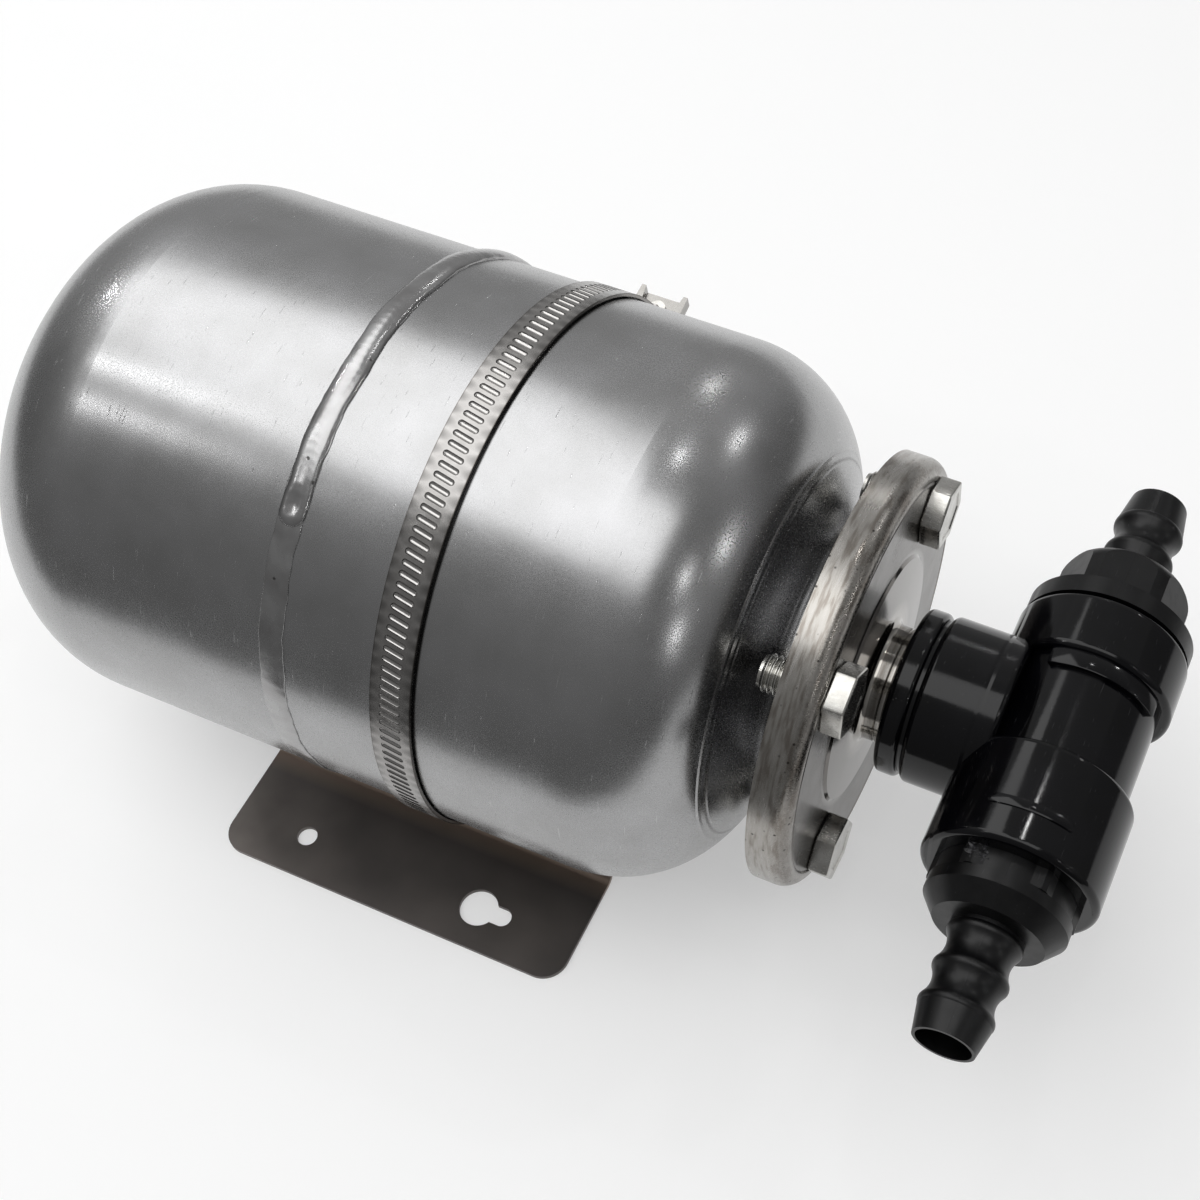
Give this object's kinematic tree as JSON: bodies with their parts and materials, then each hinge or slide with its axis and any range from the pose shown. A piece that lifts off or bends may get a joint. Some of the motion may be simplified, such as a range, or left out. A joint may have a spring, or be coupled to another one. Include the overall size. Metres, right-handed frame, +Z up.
{
  "type": "accumulator tank",
  "caption": "Small steel bladder accumulator tank lying in a sheet bracket, with a bolted end cover, a black hose tee and an air valve at the far end.",
  "frame": {"origin": "midway between the two round fixing holes of the bracket, in the plane that the bracket's feet rest on", "axes": "+X along the tank towards the end cover and the hose tee, +Z up from the mounting plane through the tank's axis, Y across the tank along the run of the tee"},
  "size_m": [0.2743, 0.1379, 0.1299],
  "materials": {
    "tank_steel": "satin",
    "weld_steel": "as welded",
    "polished_steel": "bright, slightly stained",
    "bolt_steel": "bright zinc",
    "band_steel": "bright",
    "spring_steel": "bright",
    "coated_sheet": "dark satin coating",
    "black_plastic": "glossy moulded",
    "cap_plastic": "matt moulded",
    "black_rubber": "matt",
    "valve_brass": "plain"
  },
  "bodies": {
    "tank": {"rear_shell": "tank_steel", "front_shell": "tank_steel", "girth_weld": "weld_steel", "bladder": "black_rubber", "cover_flange": "polished_steel", "flange_bolts": "bolt_steel", "flange_nuts": "bolt_steel", "outlet_spigot": "polished_steel", "spigot_o_ring": "black_rubber", "mounting_bracket": "coated_sheet", "clamp_band": "band_steel", "clamp_housing": "band_steel", "tee_body": "black_plastic", "branch_collar": "black_plastic", "lower_hose_tail": "black_plastic", "upper_hose_tail": "black_plastic", "lower_tail_o_ring": "black_rubber", "upper_tail_o_ring": "black_rubber", "valve_stem": "valve_brass", "valve_core": "valve_brass", "valve_spring": "spring_steel"},
    "worm_screw": {"clamp_screw": "bolt_steel"},
    "pin": {"valve_pin": "valve_brass", "valve_seal": "black_rubber"},
    "cap": {"valve_cap": "cap_plastic"}
  },
  "joints": [
    {"name": "clamp_screw_turn", "type": "hinge", "parent": "tank", "child": "worm_screw", "pos_m": [0.0433, 0.06376, 0.0789], "axis": [0, 0.1564, -0.9877], "continuous": true},
    {"name": "valve_pin_press", "type": "slide", "parent": "tank", "child": "pin", "axis": [1, 0, 0], "range_m": [0, 0.001], "stiffness_N_per_m": 800, "springref_m": -0.001, "deforming": ["valve_spring"]},
    {"name": "valve_cap_pull", "type": "slide", "parent": "tank", "child": "cap", "axis": [-1, 0, 0], "range_m": [0, 0.014]}
  ]
}
